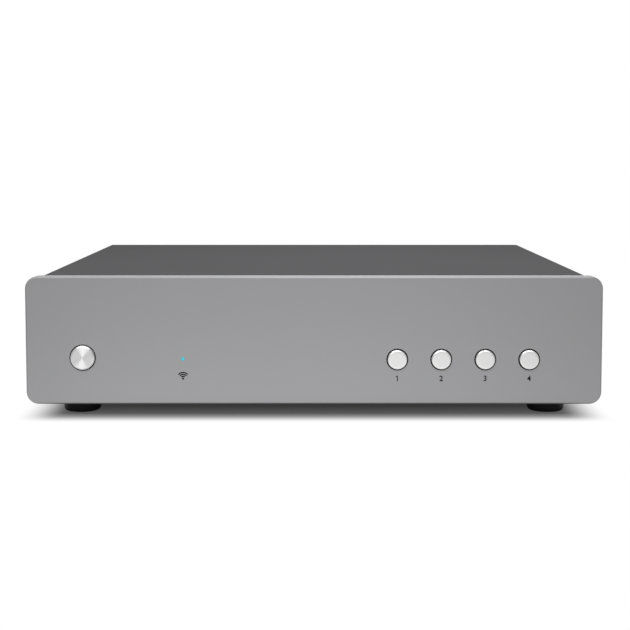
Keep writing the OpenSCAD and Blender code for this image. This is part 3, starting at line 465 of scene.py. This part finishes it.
def add_band(shape, points, width, thick, closed=False):
    """Flat band of print along points in the XY plane, lying on z = 0."""
    runs = [(Vector(b) - Vector(a)).normalized() for a, b in zip(points, points[1:])]
    if closed:
        runs.append((Vector(points[0]) - Vector(points[-1])).normalized())
    rows = []
    for i, point in enumerate(points):
        arriving = runs[i - 1] if closed or i else runs[0]
        leaving = runs[i] if i < len(runs) else arriving
        along = (arriving + leaving).normalized()
        side = Vector((-along.y, along.x)) * width / 2 / along.dot(leaving)
        rows.append([shape.verts.new((point[0] + s * side.x, point[1] + s * side.y, z))
                     for s, z in ((-1, 0), (1, 0), (1, thick), (-1, thick))])
    skin(shape, rows, closed, capped=not closed)


# Where prints lie: on the front panel's face and on the rear panel's

print_thick = 0.02 * MM
print_weight = 0.018
print_curve_steps = 6
print_crease = 20.0
panel_low, panel_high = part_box("front_panel")
rear_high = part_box("rear_panel")[1]


def on_front(x, z):
    return Matrix.Translation((x, panel_low.y, z)) @ Matrix.Rotation(math.pi / 2, 4, "X")


def on_rear(x, z):
    turn = Matrix.Rotation(math.pi, 4, "Z") @ Matrix.Rotation(math.pi / 2, 4, "X")
    return Matrix.Translation((x, rear_high.y, z)) @ turn


def printed(name, shape, at, ink):
    """Puts a print on the case."""
    piece(name, sealed(name, shape), "case", ink, at=at, crease=print_crease)


def printed_sign(name, text, height, at, ink):
    """A printed numeral or letter of that height, centred on its place."""
    half_thick = 0.5
    words = bpy.data.curves.new(name, "FONT")
    words.body = text
    words.extrude = half_thick
    words.offset = print_weight
    words.resolution_u = print_curve_steps
    holder = bpy.data.objects.new(name, words)
    scene.collection.objects.link(holder)
    drawn = holder.evaluated_get(bpy.context.evaluated_depsgraph_get())
    mesh = bpy.data.meshes.new_from_object(drawn)
    bpy.data.objects.remove(holder)
    bpy.data.curves.remove(words)
    across = [v.co.x for v in mesh.vertices]
    up = [v.co.y for v in mesh.vertices]
    middle = Vector(((min(across) + max(across)) / 2, (min(up) + max(up)) / 2, -half_thick))
    size = height / (max(up) - min(up))
    mesh.transform(Matrix.Diagonal((size, size, print_thick, 1.0)) @ Matrix.Translation(-middle))
    shape = bmesh.new()
    shape.from_mesh(mesh)
    bpy.data.meshes.remove(mesh)
    printed(name, shape, at, ink)


# Button caps

cap_bore_r = 2.02 * MM
cap_bore_l = 3.6 * MM
cap_edge = 0.6 * MM
cap_rear_edge = 0.2 * MM


def button_cap(button, body, slot):
    """Cap turned from bar: a flat face, a rounded front edge and a bore for its plunger."""
    low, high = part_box(f"{button}_cap")
    radius = (high.x - low.x) / 2
    length = high.y - low.y
    profile = [(0, cap_bore_l), (cap_bore_r, cap_bore_l), (cap_bore_r, 0),
               (radius - cap_rear_edge, 0), (radius, cap_rear_edge)]
    profile += rounded_edge(radius, length, cap_edge)
    face = radius - cap_edge
    profile += [(face * share, length) for share in (0.75, 0.5, 0.25, 0)]
    shape = bmesh.new()
    add_turned(shape, profile)
    at = Matrix.Translation(((low.x + high.x) / 2, high.y, (low.z + high.z) / 2))
    turned = at @ Matrix.Rotation(math.pi / 2, 4, "X")
    name = f"{button}_button_cap"
    made = piece(name, sealed(name, shape), body, finishes[slot], turned)
    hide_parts(f"{button}_cap")


button_cap("power", "power_button", "power_cap")
for number in (1, 2, 3, 4):
    button_cap(f"preset_{number}", f"preset_button_{number}", "preset_cap")

# Printed numerals under the preset buttons; the outline of the 1 is in shares of its height

numeral_h = 2.1 * MM
numeral_z = 14.3 * MM
numeral_one = [(-0.06, -0.5), (0.09, -0.5), (0.09, 0.5), (-0.03, 0.5),
               (-0.25, 0.34), (-0.25, 0.19), (-0.06, 0.31)]


def under_preset(number):
    low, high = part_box(f"preset_{number}_cap")
    return on_front((low.x + high.x) / 2, numeral_z)


def printed_one():
    """A 1 with a flag, drawn as an outline."""
    shape = bmesh.new()
    outline = [(x * numeral_h, y * numeral_h) for x, y in numeral_one]
    add_prism(shape, outline, print_thick, Matrix.Identity(4))
    printed("numeral_1", shape, under_preset(1), print_black)


printed_one()
for number in (2, 3, 4):
    printed_sign(f"numeral_{number}", str(number), numeral_h, under_preset(number), print_black)

# Printed wireless sign under the status light: a dot below three arcs

sign_dot_r = 0.38 * MM
sign_arcs = [0.88 * MM, 1.6 * MM, 2.32 * MM]
sign_line = 0.44 * MM
sign_half_angle = 0.85
sign_z = 14.2 * MM
sign_steps = 20
light_low, light_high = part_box("light_pipe")


def wireless_sign():
    shape = bmesh.new()
    add_turned(shape, [(0, 0), (sign_dot_r, 0), (sign_dot_r, print_thick), (0, print_thick)], turns=32)
    angles = [sign_half_angle * (2 * k / sign_steps - 1) for k in range(sign_steps + 1)]
    for radius in sign_arcs:
        arc = [(radius * math.sin(a), radius * math.cos(a)) for a in angles]
        add_band(shape, arc, sign_line, print_thick)
    printed("wireless_sign", shape, on_front((light_low.x + light_high.x) / 2, sign_z), print_black)


wireless_sign()

# Places on the rear panel's face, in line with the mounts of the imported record

fit_gap = 0.02 * MM
mounts = {mount["name"]: mount for mount in frame["record"]["mounts"]}
slots = {row["node"]: row["material_slot"] for row in frame["record"]["subparts"]}


def on_mount(name):
    x, _, z = mounts[name]["pos_m"]
    return on_rear(x, z)


def mount_radius(name):
    return mounts[name]["dims"]["r_mm"] * MM


def group_piece(name, shape, node=None, slot=None):
    """Piece of the case in the finish of a slot; where a node is given, it stands for that node."""
    slot = slot or slots[node]
    made = piece(name, sealed(name, shape), "case", finishes[slot])
    if node:
        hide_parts(node)


# Phono sockets: barrels with a groove and a rounded mouth, and a sleeve in each middle hole

phonos = ("coax", "left", "right")
barrel_wall = 0.6 * MM
barrel_foot = 1.2 * MM
barrel_end = 9.0 * MM
barrel_edge = 0.28 * MM
groove_low = 2.3 * MM
groove_high = 3.1 * MM
groove_depth = 0.16 * MM
sleeve_wall = 0.3 * MM
sleeve_low = -4.0 * MM
sleeve_high = 7.5 * MM


def phono_barrels():
    shape = bmesh.new()
    for name in phonos:
        radius = mount_radius(f"{name}_barrel")
        inner = radius - barrel_wall
        deep = radius - groove_depth
        profile = [(inner, barrel_foot), (radius, barrel_foot), (radius, groove_low)]
        profile += [(deep, groove_low + groove_depth), (deep, groove_high - groove_depth)]
        profile += [(radius, groove_high)] + rounded_edge(radius, barrel_end, barrel_edge)
        profile += [(inner, barrel_end - barrel_edge / 2)]
        add_turned(shape, profile, on_mount(f"{name}_barrel"), closed=True)
    group_piece("phono_barrels", shape, "rca_barrels")


def phono_sleeves():
    shape = bmesh.new()
    for name in phonos:
        outer = mount_radius(f"{name}_pin_hole") - fit_gap
        inner = outer - sleeve_wall
        profile = [(inner, sleeve_low), (outer, sleeve_low)]
        profile += rounded_edge(outer, sleeve_high, sleeve_wall / 2) + [(inner, sleeve_high)]
        add_turned(shape, profile, on_mount(f"{name}_pin_hole"), turns=48, closed=True)
    group_piece("phono_sleeves", shape, slot="gold_plate")


phono_barrels()
phono_sleeves()

# Antenna sockets: a screw thread, a hexagon behind the panel, a pin and its white insulator, and a nut

antennas = ("antenna_left_thread", "antenna_right_thread")
thread_pitch = 0.706 * MM
thread_depth = 0.42 * MM
thread_low = 2.2 * MM
thread_high = 8.5 * MM
antenna_mouth = 0.15 * MM
antenna_bore_r = 2.275 * MM
antenna_floor = 3.5 * MM
antenna_pin_r = 0.45 * MM
antenna_pin_tip = 7.5 * MM
antenna_tail_r = 2.0 * MM
antenna_tail_low = -9.0 * MM
antenna_hex_w = 8.0 * MM
antenna_hex_r = antenna_hex_w / math.sqrt(3)
antenna_hex_low = -3.0 * MM
antenna_hex_t = 2.0 * MM
insulator_t = 2.2 * MM
insulator_edge = 0.15 * MM
antenna_turns = 48
nut_flat_r = 4.0 * MM
nut_face_r = 3.85 * MM
nut_slope = math.tan(math.radians(30))
nut_gap = 0.06 * MM


def antenna_connectors():
    shape = bmesh.new()
    corners = [math.pi / 3 * k for k in range(6)]
    hexagon = [(antenna_hex_r * math.cos(a), antenna_hex_r * math.sin(a)) for a in corners]
    for name in antennas:
        at = on_mount(name)
        crest = mount_radius(name)
        root = crest - thread_depth
        core = [(0, antenna_tail_low), (antenna_tail_r, antenna_tail_low),
                (antenna_tail_r, antenna_hex_low), (root, antenna_hex_low), (root, thread_low)]
        mouth = [(root, thread_high), (antenna_bore_r + antenna_mouth, thread_high),
                 (antenna_bore_r, thread_high - antenna_mouth), (antenna_bore_r, antenna_floor),
                 (antenna_pin_r, antenna_floor), (antenna_pin_r, antenna_pin_tip - antenna_pin_r / 2),
                 (antenna_pin_r / 2, antenna_pin_tip), (0, antenna_pin_tip)]
        add_turned(shape, core, at, antenna_turns)
        add_thread(shape, root, crest, thread_low, thread_high, thread_pitch, at, antenna_turns)
        add_turned(shape, mouth, at, antenna_turns)
        add_prism(shape, hexagon, antenna_hex_t, at @ Matrix.Translation((0, 0, antenna_hex_low)))
    group_piece("antenna_connectors", shape, "antenna_sockets")


def antenna_insulators():
    shape = bmesh.new()
    for name in antennas:
        inner = antenna_pin_r + fit_gap
        outer = antenna_bore_r - fit_gap
        top = antenna_floor + insulator_t
        profile = [(inner, antenna_floor), (outer, antenna_floor)]
        profile += rounded_edge(outer, top, insulator_edge) + [(inner, top)]
        add_turned(shape, profile, on_mount(name), antenna_turns, closed=True)
    group_piece("antenna_insulators", shape, slot="white_plastic")


def antenna_hex_nuts():
    """Nuts with six flats, and corners that are cut back by a cone on the outer face."""
    shape = bmesh.new()
    angles = [2 * math.pi * k / antenna_turns for k in range(antenna_turns)]
    sides = [nut_flat_r / math.cos(a % (math.pi / 3) - math.pi / 6) for a in angles]
    for name in antennas:
        bore = [mount_radius(name) + nut_gap] * antenna_turns
        face = [nut_face_r] * antenna_turns
        foot = [0.0] * antenna_turns
        top = [thread_low] * antenna_turns
        shoulder = [thread_low - (side - nut_face_r) * nut_slope for side in sides]
        profile = [(bore, foot), (sides, foot), (sides, shoulder), (face, top), (bore, top)]
        at = on_mount(name)
        rings = [[shape.verts.new(at @ Vector((r * math.cos(a), r * math.sin(a), z)))
                  for a, r, z in zip(angles, radii, heights)]
                 for radii, heights in profile]
        skin(shape, rings, closed=True)
    group_piece("antenna_hex_nuts", shape, "antenna_nuts")


antenna_connectors()
antenna_insulators()
antenna_hex_nuts()

# Network socket: a black lining, eight spring contacts that rise from its floor, and two indicator windows

net_low, net_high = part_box("ethernet_socket")
net_middle = (net_low.x + net_high.x) / 2
net_floor = net_low.z + 2.0 * MM
net_plug = (5.95 * MM, 7.0 * MM)
net_latch = (3.2 * MM, 9.6 * MM)
net_depth = 12.98 * MM
net_wall = 0.3 * MM
net_set_back = 0.25 * MM
net_count = 8
net_pitch = 1.02 * MM
net_wire_r = 0.2 * MM
net_bends = [(1.9 * MM, 0.1 * MM), (2.2 * MM, 0.6 * MM), (2.9 * MM, 0.95 * MM),
             (8.4 * MM, 3.2 * MM), (9.2 * MM, 3.45 * MM), (10.2 * MM, 3.4 * MM)]
window_half_w = 1.4 * MM
window_h = 1.9 * MM
window_out = 0.12 * MM
window_in = 0.6 * MM
window_x = 5.4 * MM
window_top = 0.9 * MM


def plug_outline(inset):
    """Outline of the opening for the plug and its latch, seen from behind."""
    (plug_half, plug_h), (latch_half, latch_h) = net_plug, net_latch
    half = [(plug_half - inset, inset), (plug_half - inset, plug_h - inset),
            (latch_half - inset, plug_h - inset), (latch_half - inset, latch_h - inset)]
    return half + [(-x, z) for x, z in reversed(half)]


def network_lining():
    shape = bmesh.new()
    mouth = net_high.y - net_set_back
    back = net_high.y - net_depth
    loops = [(fit_gap, back), (fit_gap, mouth), (net_wall, mouth), (net_wall, back + net_wall)]
    rings = [[shape.verts.new((net_middle + x, y, net_floor + z)) for x, z in plug_outline(inset)]
             for inset, y in loops]
    skin(shape, rings, capped=True)
    group_piece("network_lining", shape, slot="socket_black")


def network_contacts():
    shape = bmesh.new()
    path = [(net_high.y - back, net_floor + up) for back, up in net_bends]
    for k in range(net_count):
        add_wire(shape, net_middle + net_pitch * (k - (net_count - 1) / 2), path, net_wire_r)
    group_piece("network_contacts", shape, slot="gold_plate")


def network_window(name, x, finish):
    shape = bmesh.new()
    top = net_high.z - window_top
    low = (x - window_half_w, net_high.y - window_in, top - window_h)
    high = (x + window_half_w, net_high.y + window_out, top)
    add_block(shape, low, high, window_out)
    piece(name, sealed(name, shape), "case", finish)


network_lining()
network_contacts()
network_window("network_window_left", net_middle + window_x, window_green)
network_window("network_window_right", net_middle - window_x, window_amber)

# Serial bus socket: four contact strips under the tongue, and a flared lip on each side of the mouth

bus_low, bus_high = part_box("usb_socket")
tongue_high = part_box("usb_tongue")[1]
tongue_under = bus_low.z + 2.6 * MM
strip_x = [-3.5 * MM, -1.0 * MM, 1.0 * MM, 3.5 * MM]
strip_half_w = 0.5 * MM
strip_t = 0.14 * MM
strip_from_tip = 0.8 * MM
strip_l = 6.8 * MM
strip_edge = 0.04 * MM
lip_section = [(-0.38 * MM, -0.4 * MM), (-0.38 * MM, 0.05 * MM), (-0.12 * MM, 0.5 * MM),
               (0.3 * MM, 0.82 * MM), (0.52 * MM, 0.6 * MM), (0.16 * MM, 0.32 * MM),
               (-0.02 * MM, -0.02 * MM), (-0.02 * MM, -0.4 * MM)]
lip_wide = 7.4 * MM
lip_tall = 2.8 * MM


def bus_contacts():
    shape = bmesh.new()
    middle = (bus_low.x + bus_high.x) / 2
    tip = tongue_high.y - strip_from_tip
    for x in strip_x:
        low = (middle + x - strip_half_w, tip - strip_l, tongue_under - strip_t)
        high = (middle + x + strip_half_w, tip, tongue_under + strip_t)
        add_block(shape, low, high, strip_edge)
    group_piece("bus_contacts", shape, slot="gold_plate")


def bus_lips():
    shape = bmesh.new()
    middle = (bus_low + bus_high) / 2
    sides = [((0, 0, 1), (middle.x, bus_high.z), lip_wide), ((0, 0, -1), (middle.x, bus_low.z), lip_wide),
             ((1, 0, 0), (bus_high.x, middle.z), lip_tall), ((-1, 0, 0), (bus_low.x, middle.z), lip_tall)]
    for outward, (x, z), length in sides:
        out = Vector(outward)
        back = Vector((0, 1, 0))
        along = out.cross(back)
        start = Vector((x, bus_high.y, z)) - along * length / 2
        turn = Matrix((out, back, along)).transposed().to_4x4()
        add_prism(shape, lip_section, length, Matrix.Translation(start) @ turn)
    group_piece("bus_lips", shape, slot="socket_metal")


bus_contacts()
bus_lips()

# Prints on the rear panel: brackets over the outputs, L and R, a wave over the mains inlet, antenna signs

rear_line = 0.3 * MM
bracket_z = 36.0 * MM
bracket_drop = 1.4 * MM
letter_z = 32.4 * MM
letter_h = 2.3 * MM
wave_z = 32.4 * MM
wave_half = 2.4 * MM
wave_h = 0.8 * MM
wave_steps = 32
aerial_z = 46.2 * MM
aerial_h = 2.6 * MM
aerial_half = 1.3 * MM


def rear_print(name, lines, x, z):
    """Lines of pale print round a place on the rear panel."""
    shape = bmesh.new()
    for layer, points in enumerate(lines, start=1):
        add_band(shape, points, rear_line, print_thick * layer)
    printed(name, shape, on_rear(x, z), print_pale)


def bracket(name, first, second):
    half = abs(second - first) / 2
    points = [(-half, -bracket_drop), (-half, 0), (half, 0), (half, -bracket_drop)]
    rear_print(name, [points], (first + second) / 2, bracket_z)


phono_x = {name: mounts[f"{name}_barrel"]["pos_m"][0] for name in phonos}
optical_low, optical_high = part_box("optical_socket")
mains_low, mains_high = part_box("mains_inlet")
bracket("analogue_bracket", phono_x["left"], phono_x["right"])
bracket("digital_bracket", (optical_low.x + optical_high.x) / 2, phono_x["coax"])
for side in ("left", "right"):
    printed_sign(f"letter_{side}", side[0].upper(), letter_h, on_rear(phono_x[side], letter_z), print_pale)
swings = [2 * k / wave_steps - 1 for k in range(wave_steps + 1)]
wave = [(wave_half * s, wave_h * math.sin(math.pi * s)) for s in swings]
rear_print("mains_wave", [wave], (mains_low.x + mains_high.x) / 2, wave_z)
aerial_arms = [(-aerial_half, aerial_h / 2), (0, 0), (aerial_half, aerial_h / 2)]
aerial_mast = [(0, aerial_h / 2), (0, -aerial_h / 2)]
for name in antennas:
    sign = name.replace("thread", "sign")
    rear_print(sign, [aerial_arms, aerial_mast], mounts[name]["pos_m"][0], aerial_z)


# Camera, at the photograph's place

camera_x = 0.38 * MM
camera_ahead = 512.51 * MM
camera_z = 97.83 * MM
camera_pitch = 4.562
camera_lens = 79.172
camera_shift = -0.08
eye = bpy.data.cameras.new("camera")
eye.lens = camera_lens
eye.shift_y = camera_shift
camera = bpy.data.objects.new("camera", eye)
scene.collection.objects.link(camera)
camera.location = (camera_x, panel_low.y - camera_ahead, camera_z)
camera.rotation_euler = (math.radians(90 - camera_pitch), 0, 0)
scene.camera = camera


# Floor: it keeps the shadow round the object, deepened by painted shade and lifted by painted fill light,
# and is plain white beyond it; reflections see a painted pool of light in front of it

far_white = 0.47
floor_half = 4.0
floor_below = 0.05 * MM
floor_bounced = 0.36
# Grey of the floor that the camera and reflections see round the object, darker than the grey that bounces
# light: painted shade in the object's shadow
painted_shade_grey = 0.17
shadow_fade = {"X": (-14.0 * MM, 4.5 * MM), "Y": (-2.6 * MM, 12.4 * MM)}
# Painted fill light in the floor's shadow: a small share of white, least well under the object and rising
# over the inset towards its front and back edges
painted_fill_inset = 25.0 * MM
painted_fill_deep = 0.036
painted_fill_shallow = 0.1
# A painted pool of light on the floor in front of the object, seen only in reflections: full white inside
# it and far_white beyond
pool_middle = (-0.025, -0.16, 0)
pool_half = (0.28, 0.45)
pool_edge = (0.1, 1.0)


def background_rays(start):
    """Which rays see the white background: all of those that do, and the reflected ones alone."""
    camera, glossy, through = [start.node("ShaderNodeLightPath", out=f"Is {kind} Ray")
                               for kind in ("Camera", "Glossy", "Transmission")]
    return camera.math("MAXIMUM", camera.math("MAXIMUM", camera, glossy), through), glossy


def floor_white():
    """White that holds the object's shadow, deepened by painted shade and lifted by painted fill light,
    and that metal sees as a painted bright pool of light in front of it.
    """
    cover_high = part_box("top_cover")[1]
    middle = Vector((0, (panel_low.y + cover_high.y) / 2, 0))
    reach = Vector((panel_high.x, (cover_high.y - panel_low.y) / 2, 0.0))
    pool_shape = (1 / pool_half[0], 1 / pool_half[1], 0)
    white = bpy.data.materials.new("floor")
    white.use_nodes = True
    tree = white.node_tree
    tree.nodes.clear()
    start = Field(tree)
    place = start.node("ShaderNodeTexCoord", out="Object")
    away = place.vector("ABSOLUTE", place.vector("SUBTRACT", place, middle))
    beyond = away.vector("SUBTRACT", away, reach)
    over = {name: start.node("ShaderNodeSeparateXYZ", None, {0: beyond}, name) for name in shadow_fade}
    # shade is 1 round the object and fades to 0 beyond it: inside, the floor shows its shading by the
    # lamps in the darker painted-shade grey, and outside it is plain white, so the shadow's outline is
    # painted
    shade = (1 - over["X"].ramp(*shadow_fade["X"])) * (1 - over["Y"].ramp(*shadow_fade["Y"]))
    off_pool = place.vector("MULTIPLY", place.vector("SUBTRACT", place, pool_middle), pool_shape)
    seen, glossy = background_rays(start)
    # Reflections see the painted pool of light at full white and the floor beyond it at far_white
    dimmed = glossy * off_pool.vector("LENGTH", off_pool, out="Value").ramp(*pool_edge)
    bounced = start.node("ShaderNodeBsdfDiffuse", None, {"Color": grey(floor_bounced)})
    painted_shade_floor = start.node("ShaderNodeBsdfDiffuse", None, {"Color": grey(painted_shade_grey)})
    matt = start.node("ShaderNodeMixShader", None, {0: seen, 1: bounced, 2: painted_shade_floor})
    near = start.node("ShaderNodeEmission", None, {"Color": grey(1.0), "Strength": 1.0})
    far = start.node("ShaderNodeEmission", None, {"Color": grey(far_white), "Strength": 1.0})
    bright = start.node("ShaderNodeMixShader", None, {0: dimmed, 1: near, 2: far})
    # Painted fill light: white mixed into the shadow
    painted_fill_share = painted_fill_deep + (painted_fill_shallow - painted_fill_deep) * over["Y"].ramp(-painted_fill_inset, 0.0)
    share = seen * (1 - (1 - painted_fill_share) * shade)
    both = start.node("ShaderNodeMixShader", None, {0: share, 1: matt, 2: bright})
    start.node("ShaderNodeOutputMaterial", None, {"Surface": both}, out=None)
    return white


def studio_floor():
    shape = bmesh.new()
    corners = [(-floor_half, -floor_half), (floor_half, -floor_half),
               (floor_half, floor_half), (-floor_half, floor_half)]
    shape.faces.new([shape.verts.new((x, y, -floor_below)) for x, y in corners])
    mesh = bpy.data.meshes.new("floor")
    shape.to_mesh(mesh)
    shape.free()
    mesh.materials.append(floor_white())
    floor = bpy.data.objects.new("floor", mesh)
    scene.collection.objects.link(floor)


studio_floor()


# Light: a white studio, with soft boxes above, in front and behind

ambient = 0.42
box_aim = (0, 0, 0.03)


def studio_world():
    world = bpy.data.worlds.new("studio")
    scene.world = world
    world.use_nodes = True
    tree = world.node_tree
    start = Field(tree)
    seen, glossy = background_rays(start)
    strength = ambient + (1 - ambient) * seen - (1 - far_white) * glossy
    backdrop = tree.nodes["Background"]
    backdrop.inputs["Color"].default_value = grey(1.0)
    tree.links.new(strength.socket, backdrop.inputs["Strength"])


def soft_box(name, at, aim, width, height, power):
    """Lamp of that size and power, turned to its aim and hidden from the camera."""
    lamp = bpy.data.lights.new(name, "AREA")
    lamp.shape = "RECTANGLE"
    lamp.size = width
    lamp.size_y = height
    lamp.energy = power
    holder = bpy.data.objects.new(name, lamp)
    scene.collection.objects.link(holder)
    holder.location = at
    holder.rotation_euler = (Vector(aim) - Vector(at)).to_track_quat("-Z", "Y").to_euler()
    holder.visible_camera = False


studio_world()
soft_box("overhead", (0.04, 0.0, 0.25), (0.04, 0, 0), 0.18, 0.18, 0.16)
soft_box("front_top", (-0.12, -0.7, 0.75), (0, -0.09, 0.03), 1.0, 0.25, 7.6)
soft_box("rear_middle", (0, 1.3, 0.3), box_aim, 1.2, 0.5, 5.2)
soft_box("rear_left", (-1.0, 0.85, 0.35), box_aim, 0.7, 0.5, 5.0)
soft_box("rear_right", (1.0, 0.85, 0.35), box_aim, 0.7, 0.5, 7.0)
